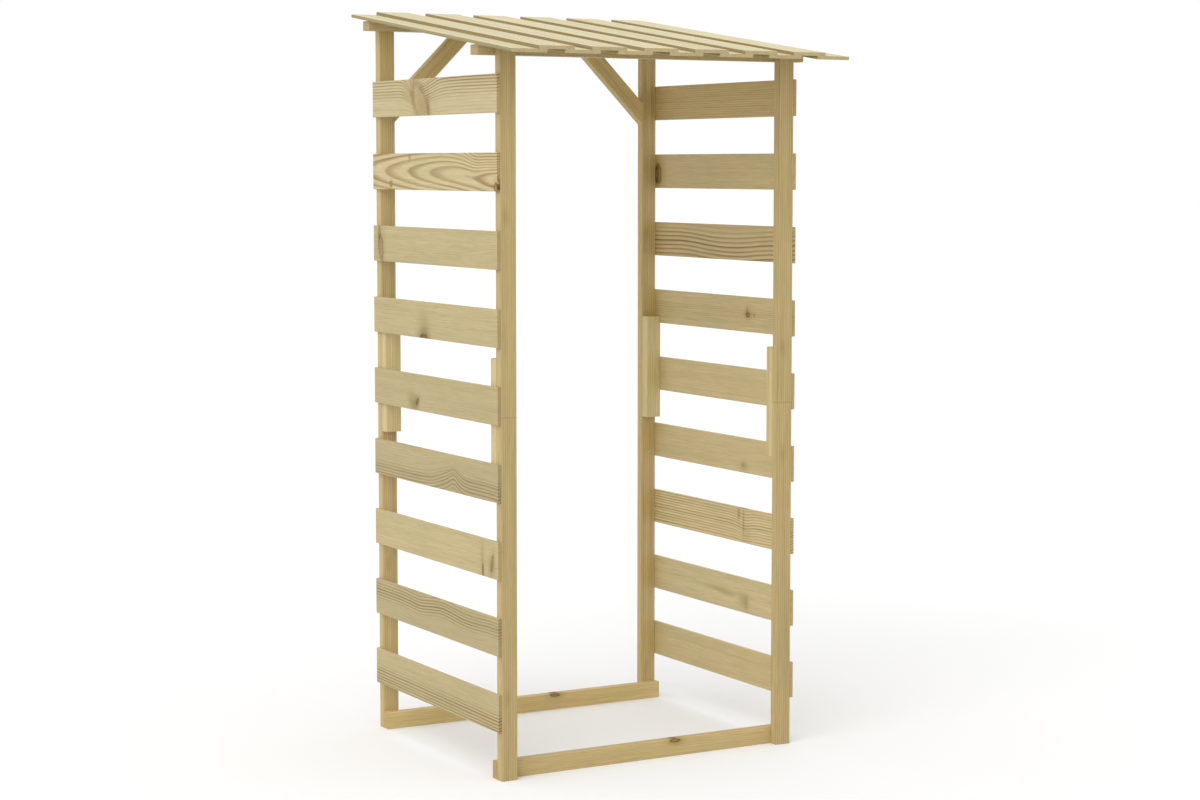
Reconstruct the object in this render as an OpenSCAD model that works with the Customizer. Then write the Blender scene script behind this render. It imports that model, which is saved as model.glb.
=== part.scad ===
// Open slatted firewood store: four spliced posts, bottom rails, slatted sides
// and a single-pitch roof of boards laid in two layers.
//
// X runs across the front, Y from the front to the back and Z up. The origin
// is on the ground, under the centre of the overall box. All sizes are in mm.

/* [Frame] */
// Width over the outer faces of the posts
frame_w = 885; // [700:5:1400]
// Depth over the front faces of the front posts and the rear faces of the rear posts
frame_d = 748; // [500:2:1200]
// Height of the front posts
front_post_h = 1875; // [1500:5:2300]
// How much taller the rear posts are than the front posts
roof_rise = 99; // [40:1:250]

/* [Posts and braces] */
// Width of a post across the front; the braces are cut from the same timber
post_w = 45; // [35:1:70]
// Depth of a post from front to back
post_d = 27; // [20:1:50]
// Height of the block that splices the two halves of a post
splice_h = 297; // [150:1:500]
// Thickness of a splice block
splice_t = 29.5; // [15:0.5:45]
// Drop from the top of a rear post to the underside of its brace
brace_drop = 279; // [150:1:300]
// Angle of the braces from the vertical
brace_angle = 45; // [30:1:50]

/* [Rails and beams] */
// Height of the bottom rails
rail_h = 46.5; // [30:0.5:90]
// Thickness of the bottom rails
rail_t = 25.5; // [15:0.5:45]
// Height of the beams that carry the roof
beam_h = 26; // [18:1:45]
// Depth of the beams from front to back
beam_d = 40; // [25:1:70]
// How far the beam ends stay inside the edge of the roof
beam_inset = 9; // [0:1:40]

/* [Sides] */
// Number of boards on each side
board_n = 9; // [3:1:11]
// Width of a side board
board_h = 98; // [60:1:120]
// Thickness of a side board
board_t = 9; // [6:0.5:25]
// Height of the lowest board above the ground
first_board_z = 127; // [50:1:250]
// Space between the top board and the front beam
top_board_gap = 47; // [10:1:150]

/* [Roof] */
// Number of boards in the under layer; the cover layer has one board fewer
slat_n = 7; // [4:1:9]
// Width of an under board
slat_w = 100; // [60:1:130]
// Thickness of the roof boards
slat_t = 9; // [6:0.5:25]
// How far a cover board laps over the under board on each side
cover_lap = 25; // [10:1:40]
// Roof overhang past the posts at each side
side_overhang = 57.5; // [10:0.5:150]
// Roof overhang in front of the posts
front_overhang = 173; // [40:1:300]
// Roof overhang behind the posts
rear_overhang = 31; // [10:1:150]

/* [Edges] */
// Radius of the planed long edges
edge_r = 1.5; // [0.5:0.1:2.5]

/* [Hidden] */
// Facets in a full circle of edge radius
$fn = 32;
// Clearance under the roof boards, where they rest on posts, beams and braces
seat_gap = 0.2;

front_y = -frame_d / 2;
rear_y = frame_d / 2;
front_inner_y = front_y + post_d;
rear_inner_y = rear_y - post_d;
inner_x = frame_w / 2 - post_w;
rear_post_h = front_post_h + roof_rise;

// The roof boards lie on a plane over the front edges of all four post tops.
pitch = atan(roof_rise / (rear_inner_y - front_y));
roof_w = frame_w + 2 * side_overhang;
roof_front_y = front_y - front_overhang;
slat_len = (frame_d + front_overhang + rear_overhang) / cos(pitch);
slat_step = (roof_w - slat_w) / (slat_n - 1);
cover_w = slat_step - slat_w + 2 * cover_lap;

// Height of the timber that the roof boards rest on, at depth y
function roof_seat_z(y) = front_post_h + (y - front_y) * tan(pitch);
// Height of a level beam whose rounded front edge, at depth y, meets that plane
function beam_top_z(y) = roof_seat_z(y + edge_r) + edge_r * (1 - 1 / cos(pitch));

front_beam_y = front_inner_y;
rear_beam_y = rear_inner_y - beam_d;
front_beam_z = beam_top_z(front_beam_y) - beam_h;
rear_beam_z = beam_top_z(rear_beam_y) - beam_h;
beam_w = roof_w - 2 * beam_inset;
board_step = (front_beam_z - top_board_gap - board_h - first_board_z) / (board_n - 1);

// Moves the posts back so that the whole roof is centred over the origin
centre_shift_y = (front_overhang + 2 * slat_t * sin(pitch) - rear_overhang) / 2;

pine = [0.78, 0.69, 0.47];
pale_pine = [0.86, 0.80, 0.62];
warm_pine = [0.72, 0.62, 0.42];

corners = ["front_left", "front_right", "rear_left", "rear_right"];
halves = ["lower", "upper"];
sides = ["left", "right"];
ends = ["front", "rear"];

function is_right(corner) = corner == "front_right" || corner == "rear_right";
function is_front(corner) = corner == "front_left" || corner == "front_right";
function post_name(corner, half) = str(corner, "_post_", half);
function board_name(side, i) = str(side, "_board_", i + 1);
function under_name(i) = str("under_slat_", i + 1);
function cover_name(i) = str("cover_slat_", i + 1);

// Cross-section of planed timber, with its corner at the origin
module timber_section(w, h) {
    translate([edge_r, 0])
        square([w - 2 * edge_r, h]);
    translate([0, edge_r])
        square([w, h - 2 * edge_r]);
    for (x = [edge_r, w - edge_r], y = [edge_r, h - edge_r])
        translate([x, y])
            circle(r = edge_r);
}

// Planed timber of a given size, with its grain and rounded edges along one axis
module timber_x(size) {
    rotate([90, 0, 90])
        linear_extrude(height = size.x)
            timber_section(size.y, size.z);
}

module timber_y(size) {
    translate([0, size.y, 0])
        rotate([90, 0, 0])
            linear_extrude(height = size.y)
                timber_section(size.x, size.z);
}

module timber_z(size) {
    linear_extrude(height = size.z)
        timber_section(size.x, size.y);
}

// Places what is built around the posts' centre line in the object's own frame
module placed() {
    translate([0, centre_shift_y, 0])
        children();
}

// One half of a post; the two halves meet end to end at mid height
module post_half(corner, half) {
    post_h = is_front(corner) ? front_post_h : rear_post_h;
    x = is_right(corner) ? inner_x : -inner_x - post_w;
    y = is_front(corner) ? front_y : rear_inner_y;
    z = half == "lower" ? 0 : post_h / 2;
    color(pine)
        placed()
            translate([x, y, z])
                timber_z([post_w, post_d, post_h / 2]);
}

// Block on the inner face of a post, centred on the joint between its halves
module splice_block(corner) {
    post_h = is_front(corner) ? front_post_h : rear_post_h;
    x = is_right(corner) ? inner_x : -inner_x - post_w;
    y = is_front(corner) ? front_inner_y : rear_inner_y - splice_t;
    translate([x, y, (post_h - splice_h) / 2])
        timber_z([post_w, splice_t, splice_h]);
}

module splice_blocks() {
    color(warm_pine)
        placed()
            for (corner = corners)
                splice_block(corner);
}

// Rail on the ground, across the inner faces of two posts
module rail(end) {
    y = end == "front" ? front_inner_y : rear_inner_y - rail_t;
    color(pine)
        placed()
            translate([-frame_w / 2, y, 0])
                timber_x([frame_w, rail_t, rail_h]);
}

// Level beam under the roof, across the inner faces of two posts
module beam(end) {
    y = end == "front" ? front_beam_y : rear_beam_y;
    z = end == "front" ? front_beam_z : rear_beam_z;
    color(warm_pine)
        placed()
            translate([-beam_w / 2, y, z])
                timber_x([beam_w, beam_d, beam_h]);
}

// Brace from the inner face of the right rear post up behind the rear beam,
// with a plumb cut at the post and a level cut under the roof
module brace() {
    foot_z = rear_post_h - brace_drop;
    run = brace_drop * tan(brace_angle);
    reach = 2 * (brace_drop + run);
    intersection() {
        translate([inner_x, rear_inner_y, foot_z])
            rotate([0, -brace_angle, 0])
                translate([0, 0, -reach / 2])
                    timber_z([post_w, post_d, reach]);
        translate([inner_x - run, rear_inner_y, foot_z])
            cube([run, post_d, brace_drop]);
    }
}

module corner_braces() {
    color(pine)
        placed() {
            brace();
            mirror([1, 0, 0])
                brace();
        }
}

// Board across the outer faces of the front and rear posts of one side
module side_board(side, i) {
    x = side == "left" ? -frame_w / 2 - board_t : frame_w / 2;
    color(side == "left" ? pale_pine : pine)
        placed()
            translate([x, front_y, first_board_z + i * board_step])
                timber_y([board_t, frame_d, board_h]);
}

// Roof board of a given width, centred on x, in layer 0 (under) or 1 (cover)
module roof_board(x, w, layer) {
    color(layer == 0 ? warm_pine : pale_pine)
        placed()
            translate([0, roof_front_y, roof_seat_z(roof_front_y) + seat_gap])
                rotate([pitch, 0, 0])
                    translate([x - w / 2, 0, layer * slat_t])
                        timber_y([w, slat_len, slat_t]);
}

module under_slat(i) {
    roof_board((slat_w - roof_w) / 2 + i * slat_step, slat_w, 0);
}

module cover_slat(i) {
    roof_board((slat_w - roof_w) / 2 + (i + 0.5) * slat_step, cover_w, 1);
}

for (corner = corners, half = halves)
    post_half(corner, half);
splice_blocks();
for (end = ends)
    rail(end);
for (end = ends)
    beam(end);
corner_braces();
for (side = sides, i = [0:board_n - 1])
    side_board(side, i);
for (i = [0:slat_n - 1])
    under_slat(i);
for (i = [0:slat_n - 2])
    cover_slat(i);
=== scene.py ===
"""Looks of the open slatted firewood store: planed pine on every timber, a pale
studio floor, soft light and a camera at eye level to the front left.

Every timber is a CAD node that keeps its shape. Its material is built here, in
a frame of the timber's own: u runs along the grain, v across the wide face and
w through the thickness, in metres from the middle of the timber. Lengths are
in metres, and places on a timber are shares of its length and width.
"""
import math

import bpy
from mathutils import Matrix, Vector


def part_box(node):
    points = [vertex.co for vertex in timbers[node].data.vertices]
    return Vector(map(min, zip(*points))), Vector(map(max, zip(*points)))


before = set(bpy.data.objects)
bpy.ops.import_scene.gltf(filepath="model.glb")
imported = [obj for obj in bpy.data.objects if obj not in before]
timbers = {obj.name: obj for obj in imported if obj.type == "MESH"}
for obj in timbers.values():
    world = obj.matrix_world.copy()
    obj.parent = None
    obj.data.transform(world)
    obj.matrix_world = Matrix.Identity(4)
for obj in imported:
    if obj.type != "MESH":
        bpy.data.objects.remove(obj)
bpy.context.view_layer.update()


# ---------------------------------------------------------------- node trees

class Tree:
    """Short calls that add nodes to a tree. Each returns an output of the new node."""

    def __init__(self, node_tree):
        self.tree = node_tree

    def feed(self, value, socket):
        """Links an output to a socket, or sets the socket to a plain value."""
        if isinstance(value, bpy.types.NodeSocket):
            self.tree.links.new(value, socket)
        else:
            socket.default_value = value

    def node(self, kind, inputs=None, **settings):
        node = self.tree.nodes.new(kind)
        for name, value in settings.items():
            setattr(node, name, value)
        for name, value in (inputs or {}).items():
            self.feed(value, node.inputs[name])
        return node

    def group(self, name, inputs):
        """Adds a node group and returns its outputs."""
        node = self.tree.nodes.new("ShaderNodeGroup")
        node.node_tree = bpy.data.node_groups[name]
        for socket, value in inputs.items():
            self.feed(value, node.inputs[socket])
        return node.outputs

    def math(self, operation, a, b=0.0, c=0.0):
        return self.node("ShaderNodeMath", {0: a, 1: b, 2: c}, operation=operation).outputs[0]

    def vector(self, operation, a, b=(0.0, 0.0, 0.0)):
        node = self.node("ShaderNodeVectorMath", {0: a, 1: b}, operation=operation)
        return node.outputs["Value" if operation in ("DOT_PRODUCT", "LENGTH") else "Vector"]

    def split(self, point):
        return self.node("ShaderNodeSeparateXYZ", {0: point}).outputs

    def join(self, x, y, z):
        return self.node("ShaderNodeCombineXYZ", {0: x, 1: y, 2: z}).outputs[0]

    def noise(self, point, cells, seed, detail=2.0, rough=0.5):
        """Noise about 0.5, with this many cells a metre along u, v and w."""
        scaled = self.vector("MULTIPLY", point, cells)
        inputs = {"Vector": scaled, "W": seed, "Scale": 1.0, "Detail": detail, "Roughness": rough}
        return self.node("ShaderNodeTexNoise", inputs, noise_dimensions="4D").outputs["Fac"]

    def step(self, value, low, high, to_low=0.0, to_high=1.0):
        """A smooth step from to_low at low to to_high at high."""
        inputs = {"Value": value, "From Min": low, "From Max": high, "To Min": to_low, "To Max": to_high}
        return self.node("ShaderNodeMapRange", inputs, interpolation_type="SMOOTHSTEP").outputs[0]

    def mix(self, factor, a, b):
        node = self.tree.nodes.new("ShaderNodeMix")
        node.data_type = "RGBA"
        for index, value in ((0, factor), (6, a), (7, b)):
            self.feed(value, node.inputs[index])
        return node.outputs[2]

    def dim(self, color, factor):
        return self.vector("MULTIPLY", color, self.join(factor, factor, factor))


def new_group(name, inputs, outputs):
    """Makes a shader node group and returns its Tree, its inputs and its results."""
    group = bpy.data.node_groups.new(name, "ShaderNodeTree")
    for direction, sockets in (("INPUT", inputs), ("OUTPUT", outputs)):
        for socket, kind in sockets.items():
            group.interface.new_socket(socket, in_out=direction, socket_type="NodeSocket" + kind)
    tree = Tree(group)
    return tree, group.nodes.new("NodeGroupInput").outputs, group.nodes.new("NodeGroupOutput").inputs


# ---------------------------------------------------------------- pine

RING_SOCKETS = {
    "Point": "Vector",
    "Pith": "Vector",
    "Lean": "Vector",
    "Ring": "Float",
    "Flow": "Float",
    "Warp": "Float",
    "Seed": "Float",
}


def make_rings_group():
    """Growth rings as cylinders about a pith that may lean, so that a face cut
    near the pith shows arches and a face far from it shows straight lines."""
    tree, given, result = new_group("growth_rings", RING_SOCKETS, {"Late": "Float"})
    point, seed = given["Point"], given["Seed"]
    u = tree.split(point)[0]
    leaning = tree.vector("MULTIPLY", given["Lean"], tree.join(0.0, u, u))
    from_pith = tree.vector("SUBTRACT", tree.vector("SUBTRACT", point, given["Pith"]), leaning)
    radius = tree.vector("LENGTH", tree.vector("MULTIPLY", from_pith, (0.0, 1.0, 1.0)))

    sway = tree.math("SUBTRACT", tree.noise(point, (2.2, 9.0, 9.0), seed), 0.5)
    wobble = tree.math("SUBTRACT", tree.noise(point, (18.0, 60.0, 60.0), seed), 0.5)
    bent = tree.math("ADD", tree.math("MULTIPLY_ADD", sway, given["Warp"], radius), given["Flow"])
    bent = tree.math("MULTIPLY_ADD", wobble, 0.0018, bent)

    years = tree.math("DIVIDE", bent, given["Ring"])
    season_inputs = {"W": tree.math("MULTIPLY_ADD", years, 0.55, seed), "Scale": 1.0, "Detail": 1.0}
    seasons = tree.node("ShaderNodeTexNoise", season_inputs, noise_dimensions="1D").outputs["Fac"]
    years = tree.math("MULTIPLY_ADD", seasons, 0.35, years)
    phase = tree.math("FRACT", years)
    rise = tree.step(phase, 0.32, 0.82)
    fall = tree.step(phase, 0.88, 1.0, 1.0, 0.0)
    year = tree.math("ADD", tree.math("FLOOR", years), seed)
    vigour = tree.node("ShaderNodeTexWhiteNoise", {"W": year}, noise_dimensions="1D").outputs["Value"]
    late = tree.math("MULTIPLY", rise, fall)
    tree.feed(tree.math("MULTIPLY", late, tree.math("MULTIPLY_ADD", vigour, 0.4, 0.6)), result["Late"])


def make_swell_group():
    """A smooth swelling of the grain: Height at Centre, fading over Reach."""
    sockets = {"Point": "Vector", "Centre": "Vector", "Reach": "Vector", "Height": "Float"}
    tree, given, result = new_group("grain_swell", sockets, {"Flow": "Float"})
    away = tree.vector("DIVIDE", tree.vector("SUBTRACT", given["Point"], given["Centre"]), given["Reach"])
    squared = tree.vector("DOT_PRODUCT", away, away)
    fade = tree.math("EXPONENT", tree.math("MULTIPLY", squared, -1.0))
    tree.feed(tree.math("MULTIPLY", fade, given["Height"]), result["Flow"])


def make_knot_group():
    """A knot cut by the face: its core, a ringed heart, a dark rim and a halo of stain."""
    sockets = {"Point": "Vector", "Centre": "Vector", "Size": "Vector", "Slant": "Float", "Seed": "Float"}
    outputs = {"Core": "Float", "Heart": "Float", "Rim": "Float", "Halo": "Float"}
    tree, given, result = new_group("pine_knot", sockets, outputs)
    u, v, _ = tree.split(tree.vector("SUBTRACT", given["Point"], given["Centre"]))
    u = tree.math("MULTIPLY_ADD", v, given["Slant"], u)
    ragged = tree.math("SUBTRACT", tree.noise(given["Point"], (120.0, 90.0, 20.0), given["Seed"], 3.0), 0.5)
    distance = tree.vector("LENGTH", tree.vector("DIVIDE", tree.join(u, v, 0.0), given["Size"]))
    distance = tree.math("MULTIPLY_ADD", ragged, 0.9, distance)
    rings = tree.math("MULTIPLY_ADD", tree.math("SINE", tree.math("MULTIPLY", distance, 19.0)), 0.18, 0.8)
    core = tree.step(distance, 0.75, 1.05, 1.0, 0.0)
    rim = tree.math("MULTIPLY", tree.step(distance, 0.6, 0.95), tree.step(distance, 0.98, 1.35, 1.0, 0.0))
    tree.feed(core, result["Core"])
    tree.feed(tree.math("MULTIPLY", core, rings), result["Heart"])
    tree.feed(rim, result["Rim"])
    tree.feed(tree.step(distance, 0.8, 3.2, 1.0, 0.0), result["Halo"])


def make_pine_group():
    """Planed, pressure-treated pine: growth rings, long streaks, fibres, slow
    shifts between yellow and green, and darker, rougher end grain."""
    own = {"Tone": "Color", "Contrast": "Float", "Quiet": "Float", "Band": "Float", "Band Half": "Float",
           "Core": "Float", "End": "Float"}
    outputs = {"Color": "Color", "Roughness": "Float", "Height": "Float"}
    tree, given, result = new_group("planed_pine", {**RING_SOCKETS, **own}, outputs)
    point, seed, end = given["Point"], given["Seed"], given["End"]
    late = tree.group("growth_rings", {name: given[name] for name in RING_SOCKETS})["Late"]

    # The lines show most inside one band across the face, and fade outside it.
    v = tree.math("ADD", tree.split(point)[1], given["Flow"])
    off_band = tree.math("DIVIDE", tree.math("SUBTRACT", v, given["Band"]), given["Band Half"])
    off_band = tree.math("POWER", tree.math("ABSOLUTE", off_band), 4.0)
    in_band = tree.math("EXPONENT", tree.math("MULTIPLY", off_band, -1.0))
    gain = tree.math("SUBTRACT", given["Contrast"], given["Quiet"])
    shown = tree.math("MULTIPLY_ADD", in_band, gain, given["Quiet"])
    patchy = tree.step(tree.noise(point, (2.6, 14.0, 14.0), seed), 0.3, 0.65, 0.6, 1.0)
    outside = tree.math("SUBTRACT", 1.0, given["Core"])
    lines = tree.math("MULTIPLY", late, tree.math("MULTIPLY", shown, patchy))
    lines = tree.math("MULTIPLY", lines, outside)

    grained = tree.vector("ADD", point, tree.join(0.0, given["Flow"], 0.0))
    streak = tree.noise(grained, (1.6, 90.0, 90.0), seed, 3.0, 0.6)
    fleck = tree.noise(grained, (14.0, 330.0, 330.0), seed, 3.0, 0.65)
    fibre = tree.noise(grained, (26.0, 1500.0, 1500.0), seed, 3.0, 0.7)
    blotch = tree.noise(point, (5.0, 16.0, 16.0), tree.math("ADD", seed, 31.0))
    dash = tree.step(tree.noise(grained, (20.0, 260.0, 260.0), tree.math("ADD", seed, 3.0)), 0.58, 0.75)
    pore = tree.step(tree.noise(grained, (45.0, 700.0, 700.0), tree.math("ADD", seed, 7.0)), 0.66, 0.8)

    greenish = tree.vector("MULTIPLY", given["Tone"], (0.97, 0.99, 0.95))
    warmer = tree.vector("MULTIPLY", given["Tone"], (1.03, 1.01, 1.02))
    base = tree.mix(tree.step(blotch, 0.3, 0.7), greenish, warmer)
    latewood = tree.vector("MULTIPLY", base, (0.46, 0.34, 0.19))
    color = tree.mix(lines, base, latewood)
    for grain, amount in ((streak, 0.36), (fleck, 0.50), (fibre, 0.24)):
        deeper = tree.vector("MULTIPLY", color, (1 - 0.5 * amount, 1 - 0.5 * amount, 1 - 0.6 * amount))
        paler = tree.vector("MULTIPLY", color, (1 + 0.5 * amount, 1 + 0.5 * amount, 1 + 0.5 * amount))
        color = tree.mix(grain, deeper, paler)
    marks = tree.math("MULTIPLY_ADD", pore, 0.2, tree.math("MULTIPLY", dash, 0.16))
    color = tree.mix(marks, color, latewood)
    color = tree.mix(end, color, tree.vector("MULTIPLY", color, (0.82, 0.75, 0.66)))
    tree.feed(color, result["Color"])

    rough = tree.math("MULTIPLY_ADD", streak, 0.18, 0.48)
    rough = tree.math("MULTIPLY_ADD", lines, -0.08, rough)
    tree.feed(tree.math("MULTIPLY_ADD", end, 0.2, rough), result["Roughness"])
    height = tree.math("MULTIPLY_ADD", late, 0.35, tree.math("MULTIPLY", fibre, 0.5))
    height = tree.math("MULTIPLY_ADD", streak, 0.5, height)
    tree.feed(tree.math("MULTIPLY_ADD", pore, -0.5, height), result["Height"])


make_rings_group()
make_swell_group()
make_knot_group()
make_pine_group()

# Stains of a knot, as shares of the colour of the wood round it
KNOT_STAINS = {
    "Halo": (0.86, 0.84, 0.72),
    "Heart": (0.56, 0.40, 0.22),
    "Rim": (0.44, 0.31, 0.17),
}
SMUDGE_STAIN = (0.62, 0.58, 0.42)
GRAIN_RELIEF = 0.00035
# Distances from a timber's end at which its darker rim starts and is full
RIM_START = 0.0016
RIM_FULL = 0.0002
# A band so wide that the growth lines show evenly all over the face
WHOLE_FACE = (0.5, 2.0)
AXES = (Vector((1, 0, 0)), Vector((0, 1, 0)), Vector((0, 0, 1)))


def spread(points, axis):
    reaches = [point.dot(axis) for point in points]
    return max(reaches) - min(reaches)


def grain_direction(name, points):
    """Boards and slats run from front to back, rails and beams across, the rest up.
    A slat's pitch comes from its two upper corners: the foremost and the highest point."""
    if "_slat_" in name:
        front = min(points, key=lambda point: point.y)
        rear = max(points, key=lambda point: point.z)
        return Vector((0, rear.y - front.y, rear.z - front.z)).normalized()
    if name == "corner_braces":
        return Vector((-1, 0, 1)).normalized()
    if "_board_" in name:
        return AXES[1]
    if name.endswith(("_rail", "_beam")):
        return AXES[0]
    return AXES[2]


def grain_frame(name, points):
    """The directions of u, v and w of a timber. Its wider side gives v."""
    along = grain_direction(name, points)
    square = [(axis - along * axis.dot(along)).normalized() for axis in AXES if abs(axis.dot(along)) < 0.8]
    across = max(square, key=lambda axis: spread(points, axis))
    return along, across, along.cross(across)


def measure(name, mirrored):
    """The middle, length and width of a timber, and its directions of u, v and w.
    A mirrored node holds a left and a right timber, and is measured from its right end."""
    low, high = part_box(name)
    middle = (low + high) / 2
    points = [vertex.co for vertex in timbers[name].data.vertices]
    directions = grain_frame(name, points)
    if mirrored:
        middle.x = high.x
        return middle, high.z - low.z, high.x - low.x, directions
    return middle, spread(points, directions[0]), spread(points, directions[1]), directions


def place_on_timber(tree, middle, directions, mirrored):
    """The shaded point in u, v and w, and the surface normal, which a mirrored node
    takes from its right half."""
    place = tree.node("ShaderNodeTexCoord").outputs["Object"]
    normal = tree.node("ShaderNodeNewGeometry").outputs["Normal"]
    if mirrored:
        place = tree.vector("ABSOLUTE", place)
        normal = tree.vector("ABSOLUTE", normal)
    offset = tree.vector("SUBTRACT", place, middle[:])
    u, v, w = [tree.vector("DOT_PRODUCT", offset, axis[:]) for axis in directions]
    return tree.join(u, v, w), normal


def end_grain(tree, point, normal, along, length, mirrored):
    """1 on the sawn ends of a timber and on a thin rim round them, 0 elsewhere."""
    facing = tree.math("ABSOLUTE", tree.vector("DOT_PRODUCT", normal, along[:]))
    end = tree.step(facing, 0.6, 0.8)
    if mirrored:
        return end
    from_middle = tree.math("ABSOLUTE", tree.split(point)[0])
    rim = tree.step(from_middle, length / 2 - RIM_START, length / 2 - RIM_FULL)
    return tree.math("MAXIMUM", end, rim)


def swell_flow(tree, point, at, look):
    """The sum of a look's swells, which bend its growth rings."""
    flow = 0.0
    for u_share, v_share, reach_u, reach_v, height in look.get("swells", ()):
        inputs = {"Point": point, "Centre": at(u_share, v_share), "Reach": (reach_u, reach_v, 1.0),
                  "Height": height}
        flow = tree.math("ADD", tree.group("grain_swell", inputs)["Flow"], flow)
    return flow


def find_stains(tree, point, at, look):
    """A look's knots and smudges, each as an amount, a stain and a depth, and the
    cores of its knots, which show no growth lines."""
    stains, core = [], 0.0
    for u_share, v_share, size_u, size_v, slant, depth in look.get("knots", ()):
        inputs = {"Point": point, "Centre": at(u_share, v_share), "Size": (size_u, size_v, 1.0),
                  "Slant": slant, "Seed": look["seed"] + u_share}
        knot = tree.group("pine_knot", inputs)
        stains += [(knot[part], stain, depth) for part, stain in KNOT_STAINS.items()]
        core = tree.math("MAXIMUM", knot["Core"], core)
    for u_share, v_share, reach_u, reach_v, depth in look.get("smudges", ()):
        inputs = {"Point": point, "Centre": at(u_share, v_share), "Reach": (reach_u, reach_v, 1.0),
                  "Height": depth}
        stains.append((tree.group("grain_swell", inputs)["Flow"], SMUDGE_STAIN, 1.0))
    return stains, core


def paint_pine(name, look):
    """Gives a timber its own pine material from a look, which is a dict."""
    mirrored = look.get("mirrored", False)
    middle, length, width, directions = measure(name, mirrored)
    along, across, _ = directions

    material = bpy.data.materials.new("pine_" + name)
    material.use_nodes = True
    material.node_tree.nodes.clear()
    tree = Tree(material.node_tree)
    point, normal = place_on_timber(tree, middle, directions, mirrored)
    end = end_grain(tree, point, normal, along, length, mirrored)

    def at(u_share, v_share):
        return ((u_share - 0.5) * length, (v_share - 0.5) * width, 0.0)

    stains, core = find_stains(tree, point, at, look)
    band, band_half = look.get("band", WHOLE_FACE)
    pine = tree.group("planed_pine", {
        "Point": point,
        "Pith": (0.0, *look["pith"]),
        "Lean": (0.0, *look.get("lean", (0.0, 0.0))),
        "Ring": look["ring"],
        "Flow": swell_flow(tree, point, at, look),
        "Warp": look.get("warp", 0.006),
        "Seed": look["seed"],
        "Tone": (*look["tone"], 1.0),
        "Contrast": look["contrast"],
        "Quiet": look.get("quiet", look["contrast"]),
        "Band": (band - 0.5) * width,
        "Band Half": band_half * width,
        "Core": core,
        "End": end,
    })
    color = pine["Color"]
    for amount, stain, depth in stains:
        stain_and_shade = tree.vector("MULTIPLY", color, stain)
        color = tree.mix(tree.math("MULTIPLY", amount, depth), color, stain_and_shade)
    # Painted shade on the side faces, used by the roof's slats
    if "edge" in look:
        sideways = tree.math("ABSOLUTE", tree.vector("DOT_PRODUCT", normal, across[:]))
        stain_and_shade = tree.vector("MULTIPLY", color, look["edge"])
        color = tree.mix(tree.step(sideways, 0.5, 0.9), color, stain_and_shade)
    # Painted light on the sawn ends, used by the beams
    if "ends" in look:
        color = tree.mix(end, color, tree.vector("MULTIPLY", color, look["ends"]))

    bump_inputs = {"Height": pine["Height"], "Strength": 0.6, "Distance": GRAIN_RELIEF}
    bump = tree.node("ShaderNodeBump", bump_inputs).outputs[0]
    shader_inputs = {"Base Color": color, "Roughness": pine["Roughness"], "Normal": bump,
                     "Specular IOR Level": 0.4}
    shader = tree.node("ShaderNodeBsdfPrincipled", shader_inputs).outputs[0]
    tree.node("ShaderNodeOutputMaterial", {"Surface": shader})
    timbers[name].data.materials.clear()
    timbers[name].data.materials.append(material)


# ---------------------------------------------------------------- looks of the timbers

def wood(red, green, blue):
    """A colour as it reads on a screen, from 0 to 255, as the renderer takes it."""
    return tuple(((channel / 255 + 0.055) / 1.055) ** 2.4 for channel in (red, green, blue))


# PALE_PINE, on the outer faces of the left boards that face the key lamp, is set darker, and YELLOW_PINE on
# the right boards and WARM_PINE on the splice blocks, in the shade inside the store, are set lighter:
# partly painted shade and painted light that even out how the light falls, partly the wood's own tones
PALE_PINE = wood(193, 176, 134)
YELLOW_PINE = wood(204, 185, 140)
WARM_PINE = wood(212, 193, 145)
POST_PINE = wood(192, 170, 121)
ROOF_PINE = wood(215, 203, 168)
CLEAR = dict(ring=0.0060, contrast=0.16)
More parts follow.
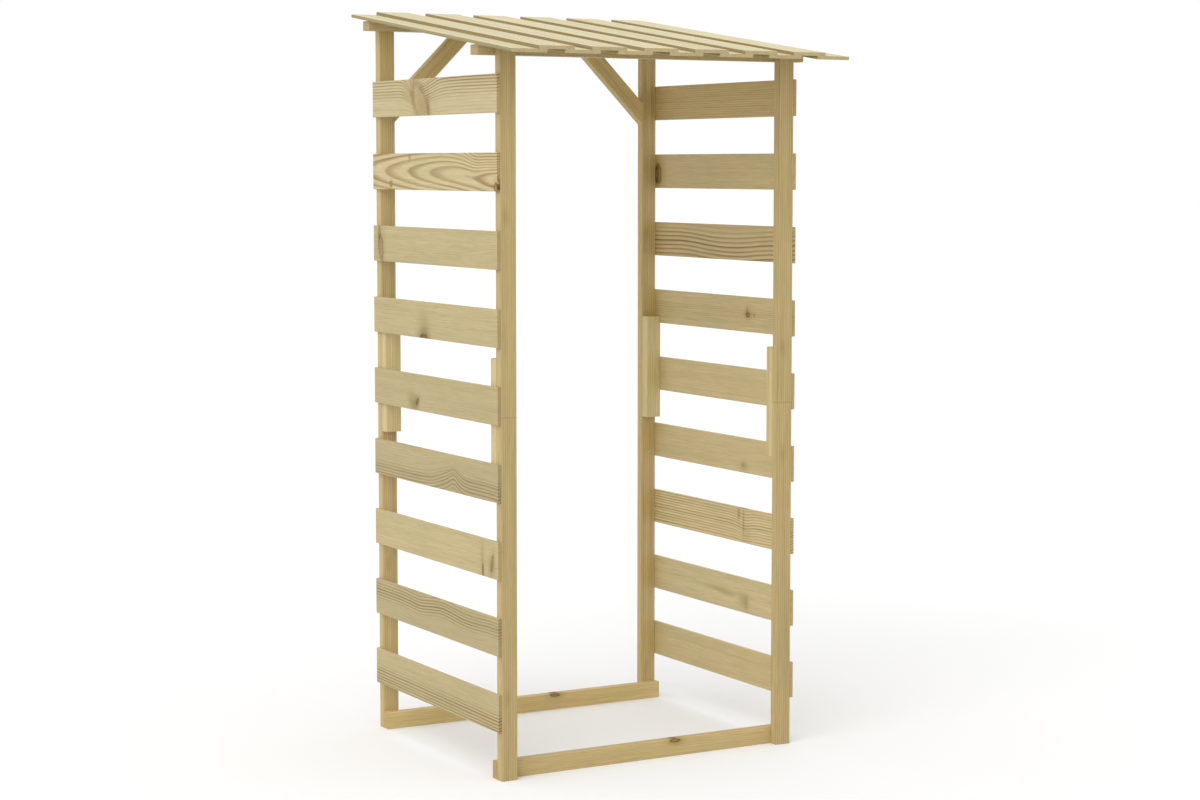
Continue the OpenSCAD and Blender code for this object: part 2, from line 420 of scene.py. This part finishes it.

# A look is made of these:
#   shade, tint     multiply the tone of its kind of timber, and on some timbers also paint light and shade into it
#   pith, lean      where the tree's middle lay in v and w, and how that drifts along u
#   ring, warp      width of a growth ring, and how much the rings sway
#   contrast        strength of the growth lines inside the band; quiet is that outside it
#   band            middle and half width of that band, as shares of the width
#   edge, ends      painted shade on the side faces, and painted light on the sawn ends
#   swells          (u, v, reach along, reach across, height): lines dip over a swell
#   knots           (u, v, half length, half width, slant, depth of the stain)
#   smudges         (u, v, reach along, reach across, depth of the stain)
# Their u and v are shares from the front end of a board and from its lower edge.
# Each left board's shade is partly its own tone and partly painted light and shade: the lower boards are
# set darker against the light the floor throws up on them, and the top two lighter
LEFT_BOARDS = [
    # Straight dark lines along the lower third, which draw apart to the front
    dict(shade=0.97, pith=(-0.14, 0.03), lean=(0.012, 0.0), ring=0.0078, contrast=1.40, quiet=0.14,
         band=(0.20, 0.28), warp=0.004),
    # Dark lines along the upper half that dip and then rise
    dict(shade=0.92, pith=(-0.12, 0.03), ring=0.0078, contrast=1.25, quiet=0.12, band=(0.74, 0.27),
         warp=0.003, swells=[(0.63, 0.7, 0.07, 0.08, 0.006), (0.44, 0.7, 0.08, 0.08, -0.006),
                             (0.22, 0.7, 0.08, 0.08, 0.004)]),
    # Quiet, with a pale knot between dark streaks near the front end
    dict(CLEAR, shade=1.03, pith=(-0.10, 0.03),
         knots=[(0.116, 0.12, 0.005, 0.016, 0.0, 0.9), (0.045, 0.42, 0.006, 0.020, 0.2, 0.6)],
         smudges=[(0.12, 0.55, 0.012, 0.035, 0.5), (0.05, 0.30, 0.020, 0.030, 0.7)]),
    # Lines in the lower third that rise to an arch and crowd at the front
    dict(shade=0.89, pith=(-0.13, 0.03), ring=0.0080, contrast=1.15, quiet=0.12, band=(0.10, 0.28),
         warp=0.003, swells=[(0.339, 0.55, 0.030, 0.07, -0.012), (0.37, 0.45, 0.09, 0.08, -0.022),
                             (0.10, 0.40, 0.16, 0.10, -0.014)]),
    # Quiet, with a small slanted knot low down
    dict(CLEAR, shade=0.94, pith=(-0.09, 0.04),
         knots=[(0.632, 0.25, 0.006, 0.009, 0.7, 0.8)],
         smudges=[(0.635, 0.23, 0.013, 0.014, 1.0), (0.662, 0.15, 0.024, 0.020, 0.9),
                  (0.69, 0.35, 0.020, 0.025, 0.3)]),
    # Quiet, with a dark knot on the lower edge and a smudge over it
    dict(CLEAR, shade=1.00, pith=(-0.10, 0.03),
         knots=[(0.573, 0.04, 0.020, 0.007, 0.0, 1.0)],
         smudges=[(0.573, 0.12, 0.034, 0.022, 1.0), (0.575, 0.50, 0.030, 0.030, 0.35)]),
    # Quiet, with an upright knot near the rear end
    dict(CLEAR, shade=1.00, pith=(-0.11, 0.03),
         knots=[(0.937, 0.40, 0.015, 0.034, -0.12, 0.55), (0.950, 0.80, 0.006, 0.018, 0.0, 0.6)],
         smudges=[(0.937, 0.45, 0.026, 0.060, 0.3)]),
    # Arches that point to the rear end
    dict(shade=1.16, tint=(1.0, 1.01, 1.05), pith=(-0.002, 0.0320), lean=(0.015, 0.065), ring=0.0096,
         contrast=1.30, warp=0.006,
         swells=[(0.0, 1.1, 0.18, 0.07, 0.040), (0.0, -0.2, 0.18, 0.07, -0.016),
                 (0.16, 1.0, 0.05, 0.05, 0.011)],
         knots=[(0.010, 0.10, 0.008, 0.012, 0.0, 1.0), (0.845, 0.16, 0.007, 0.007, 0.0, 0.9),
                (0.685, 0.88, 0.005, 0.006, 0.0, 0.6)]),
    # Strong lines that dive into a tall, leaning knot
    dict(shade=1.10, tint=(1.0, 1.02, 1.08), pith=(-0.13, 0.03), ring=0.0078, contrast=1.25, quiet=0.14,
         band=(0.84, 0.34),
         warp=0.004, swells=[(0.655, 0.95, 0.035, 0.06, 0.035), (0.58, 0.9, 0.075, 0.07, 0.024),
                             (0.20, 0.8, 0.25, 0.06, -0.004)],
         knots=[(0.589, 0.267, 0.043, 0.068, -0.58, 0.40)],
         smudges=[(0.53, 0.25, 0.012, 0.035, 0.8), (0.65, 0.5, 0.008, 0.05, 0.4),
                  (0.58, 0.35, 0.025, 0.040, 0.35)]),
]
RIGHT_BOARDS = [
    # Plain
    dict(CLEAR, shade=1.00, pith=(-0.11, 0.03)),
    # Plain, with a long smudge and a faint knot
    dict(CLEAR, shade=1.03, tint=(1.0, 1.02, 1.07), pith=(-0.10, 0.04),
         smudges=[(0.50, 0.50, 0.060, 0.007, 0.6), (0.43, 0.43, 0.040, 0.006, 0.6),
                  (0.31, 0.34, 0.026, 0.020, 0.7), (0.295, 0.26, 0.008, 0.020, 0.5)]),
    # Dense fine lines about an upright knot
    dict(shade=1.16, tint=(1.0, 1.02, 1.07), pith=(-0.11, 0.03), ring=0.0074, contrast=1.10, warp=0.003,
         swells=[(0.31, 0.6, 0.04, 0.05, 0.008)],
         smudges=[(0.35, 0.80, 0.007, 0.020, 1.0), (0.318, 0.62, 0.005, 0.040, 0.8),
                  (0.30, 0.3, 0.02, 0.03, 0.3)]),
    # Quiet, with a faint knot near the lower edge
    dict(CLEAR, shade=1.03, pith=(-0.10, 0.03),
         smudges=[(0.317, 0.20, 0.020, 0.014, 0.6), (0.325, 0.22, 0.006, 0.008, 0.5)]),
    # Quiet
    dict(CLEAR, shade=1.02, pith=(-0.09, 0.04)),
    # Thin streaks at mid length and a pair of small knots
    dict(shade=0.98, pith=(-0.11, 0.03), ring=0.005, contrast=0.60, quiet=0.16, band=(0.5, 0.25),
         warp=0.004, knots=[(0.295, 0.49, 0.009, 0.006, 0.0, 0.9), (0.25, 0.49, 0.004, 0.004, 0.0, 0.5)],
         smudges=[(0.298, 0.58, 0.006, 0.016, 0.8), (0.29, 0.50, 0.022, 0.012, 0.5)]),
    # Strong wavy lines that dip to the front end
    dict(shade=0.97, pith=(-0.13, 0.03), ring=0.0125, contrast=1.50, quiet=0.45, band=(0.34, 0.42),
         warp=0.014, swells=[(0.42, 0.5, 0.18, 0.09, 0.013), (0.75, 0.4, 0.10, 0.05, -0.004)]),
    # A dark knot at the rear end
    dict(CLEAR, shade=1.01, pith=(-0.11, 0.03),
         knots=[(0.945, 0.42, 0.018, 0.026, 0.0, 0.7), (0.954, 0.42, 0.009, 0.022, 0.0, 0.8)],
         smudges=[(0.94, 0.42, 0.030, 0.034, 0.5)]),
    # Fine straight lines
    dict(shade=1.03, tint=(1.05, 0.99, 0.92), pith=(-0.13, 0.03), ring=0.0060, contrast=0.45, warp=0.003),
]
POST = dict(pith=(0.09, 0.02), ring=0.0060, contrast=0.46, warp=0.003)
RAIL = dict(pith=(-0.08, 0.02), ring=0.006, contrast=0.30, warp=0.004,
            knots=[(0.603, 0.91, 0.015, 0.0045, 0.1, 0.9)], smudges=[(0.607, 0.80, 0.026, 0.010, 0.6)])
# The beams' shade is painted shade, for the shade under the eaves, and their ends carry painted light, as
# from the key lamp on the left
BEAM = dict(shade=0.74, tint=(1.03, 0.99, 0.95), pith=(-0.06, 0.03), ring=0.005, contrast=0.30,
            ends=(1.20, 1.28, 1.48))
BLOCK = dict(pith=(-1.2, 0.1), ring=0.0060, contrast=0.34, warp=0.003)
# The braces' shade of 1.20 is painted light, lifting them out of the roof's shadow
BRACE = dict(shade=1.20, pith=(-0.06, 0.04), ring=0.005, contrast=0.22, mirrored=True)
SLAT = dict(ring=0.0060, contrast=0.34)
# The rear posts are set lighter than the front posts: painted light against the shade at the back of the
# store
FRONT_POST_SHADE = 1.02
REAR_POST_SHADE = 1.09
# Painted shade on the side faces of the roof's slats: a contact shadow along the cover slats, and the shade
# in the hollows between the under slats
COVER_SIDE_SHADE = (0.48, 0.42, 0.31)
UNDER_SIDE_SHADE = (0.54, 0.51, 0.39)


def shaded(look, tone, seed, shade=1.0):
    """A look with its tone, made lighter or darker and tinted, and its seed."""
    amount = look.get("shade", 1.0) * shade
    tint = look.get("tint", (1.0, 1.0, 1.0))
    return {**look, "tone": tuple(c * t * amount for c, t in zip(tone, tint)), "seed": seed}


def paint_sides():
    for side, looks, tone in (("left", LEFT_BOARDS, PALE_PINE), ("right", RIGHT_BOARDS, YELLOW_PINE)):
        for number, look in enumerate(looks, start=1):
            seed = number * 7.3 + (50.0 if side == "right" else 0.0)
            paint_pine(f"{side}_board_{number}", shaded(look, tone, seed))


def post_smudges(number):
    """A faint knot and two long streaks, at other heights on each half of a post."""
    knot_at = (0.23 + 0.31 * number) % 1
    streak_at = (0.66 + 0.31 * number) % 1
    return [
        (knot_at, 0.35, 0.025, 0.009, 0.45),
        (streak_at, 0.75, 0.16, 0.007, 0.30),
        (streak_at, 0.15, 0.10, 0.006, 0.25),
    ]


def paint_frame():
    posts = [name for name in sorted(timbers) if "_post_" in name]
    for number, name in enumerate(posts):
        # Rear posts get painted light through their lighter shade
        shade = REAR_POST_SHADE if name.startswith("rear_") else FRONT_POST_SHADE
        look = {**POST, "smudges": post_smudges(number)}
        paint_pine(name, shaded(look, POST_PINE, 120.0 + number * 5.7, shade))
    # The rear rail is set lighter than the front rail: painted light against the shade at the back of the
    # store
    paint_pine("front_rail", shaded(RAIL, POST_PINE, 171.0, 1.12))
    paint_pine("rear_rail", shaded(RAIL, POST_PINE, 178.0, 1.32))
    # The beams carry painted shade, and painted light on their sawn ends
    paint_pine("front_beam", shaded(BEAM, WARM_PINE, 185.0))
    paint_pine("rear_beam", shaded(BEAM, WARM_PINE, 191.0))
    paint_pine("splice_blocks", shaded(BLOCK, WARM_PINE, 197.0))
    # Painted light on the braces
    paint_pine("corner_braces", shaded(BRACE, POST_PINE, 203.0))


def paint_roof():
    slats = [name for name in sorted(timbers) if "_slat_" in name]
    for number, name in enumerate(slats):
        # Each slat's side faces get painted shade, darker on the cover slats
        edge = COVER_SIDE_SHADE if name.startswith("cover_") else UNDER_SIDE_SHADE
        pith = (-0.09 + 0.025 * (number * 3 % 5), -0.05)
        shade = 0.97 + 0.06 * (number * 0.37 % 1)
        look = dict(SLAT, pith=pith, edge=edge)
        paint_pine(name, shaded(look, ROOF_PINE, 220.0 + number * 6.1, shade))


paint_sides()
paint_frame()
paint_roof()


# ---------------------------------------------------------------- studio

FLOOR_HALF = 60.0
FLOOR_SEEN = (0.98, 0.98, 0.98, 1.0)
FLOOR_BOUNCE = (0.68, 0.68, 0.67, 1.0)
SKY_LIGHT = 0.64
# Each lamp is a wide, even light: where it comes from, its strength and its spread in degrees.
LAMPS = {
    "soft_key": ((-0.72, -0.48, 0.40), 1.15, 60.0),
    "soft_top": ((-0.20, -0.10, 1.00), 0.9, 90.0),
}
# The camera looks along +Y, turned to the right and tilted down by these degrees.
CAMERA_AT = (-3.3603, -5.9525, 1.5731)
TURN_RIGHT = 29.571
TILT_DOWN = 4.753
FOCAL_LENGTH = 75.6
FRAME_SHIFT_Y = -0.02


def seen_directly(tree):
    """1 for rays that show the background itself: camera, glossy and transmission rays."""
    path = tree.node("ShaderNodeLightPath").outputs
    seen = tree.math("MAXIMUM", path["Is Camera Ray"], path["Is Glossy Ray"])
    return tree.math("MAXIMUM", seen, path["Is Transmission Ray"])


def make_floor():
    mesh = bpy.data.meshes.new("floor")
    corners = [(x * FLOOR_HALF, y * FLOOR_HALF, 0.0) for x, y in ((-1, -1), (1, -1), (1, 1), (-1, 1))]
    mesh.from_pydata(corners, [], [(0, 1, 2, 3)])
    floor = bpy.data.objects.new("floor", mesh)
    bpy.context.scene.collection.objects.link(floor)
    material = bpy.data.materials.new("pale_floor")
    material.use_nodes = True
    material.node_tree.nodes.clear()
    tree = Tree(material.node_tree)
    color = tree.mix(seen_directly(tree), FLOOR_BOUNCE, FLOOR_SEEN)
    shader = tree.node("ShaderNodeBsdfDiffuse", {"Color": color}).outputs[0]
    tree.node("ShaderNodeOutputMaterial", {"Surface": shader})
    mesh.materials.append(material)


def make_world():
    world = bpy.data.worlds.new("studio")
    world.use_nodes = True
    world.node_tree.nodes.clear()
    tree = Tree(world.node_tree)
    white = (1.0, 1.0, 1.0, 1.0)
    light = tree.node("ShaderNodeBackground", {"Color": white, "Strength": SKY_LIGHT}).outputs[0]
    backdrop = tree.node("ShaderNodeBackground", {"Color": white, "Strength": 1.0}).outputs[0]
    mixed = tree.node("ShaderNodeMixShader", {0: seen_directly(tree), 1: light, 2: backdrop}).outputs[0]
    tree.node("ShaderNodeOutputWorld", {"Surface": mixed})
    bpy.context.scene.world = world


def make_lamps():
    for name, (source, strength, spread_angle) in LAMPS.items():
        lamp = bpy.data.lights.new(name, "SUN")
        lamp.energy = strength
        lamp.angle = math.radians(spread_angle)
        holder = bpy.data.objects.new(name, lamp)
        holder.rotation_mode = "QUATERNION"
        holder.rotation_quaternion = Vector(source).to_track_quat("Z", "Y")
        bpy.context.scene.collection.objects.link(holder)


def make_camera():
    lens = bpy.data.cameras.new("camera")
    lens.sensor_width = 36.0
    lens.lens = FOCAL_LENGTH
    lens.shift_y = FRAME_SHIFT_Y
    camera = bpy.data.objects.new("camera", lens)
    camera.location = CAMERA_AT
    camera.rotation_euler = (math.radians(90 - TILT_DOWN), 0.0, math.radians(-TURN_RIGHT))
    bpy.context.scene.collection.objects.link(camera)
    bpy.context.scene.camera = camera


make_floor()
make_world()
make_lamps()
make_camera()
bpy.context.scene.view_settings.view_transform = "Standard"
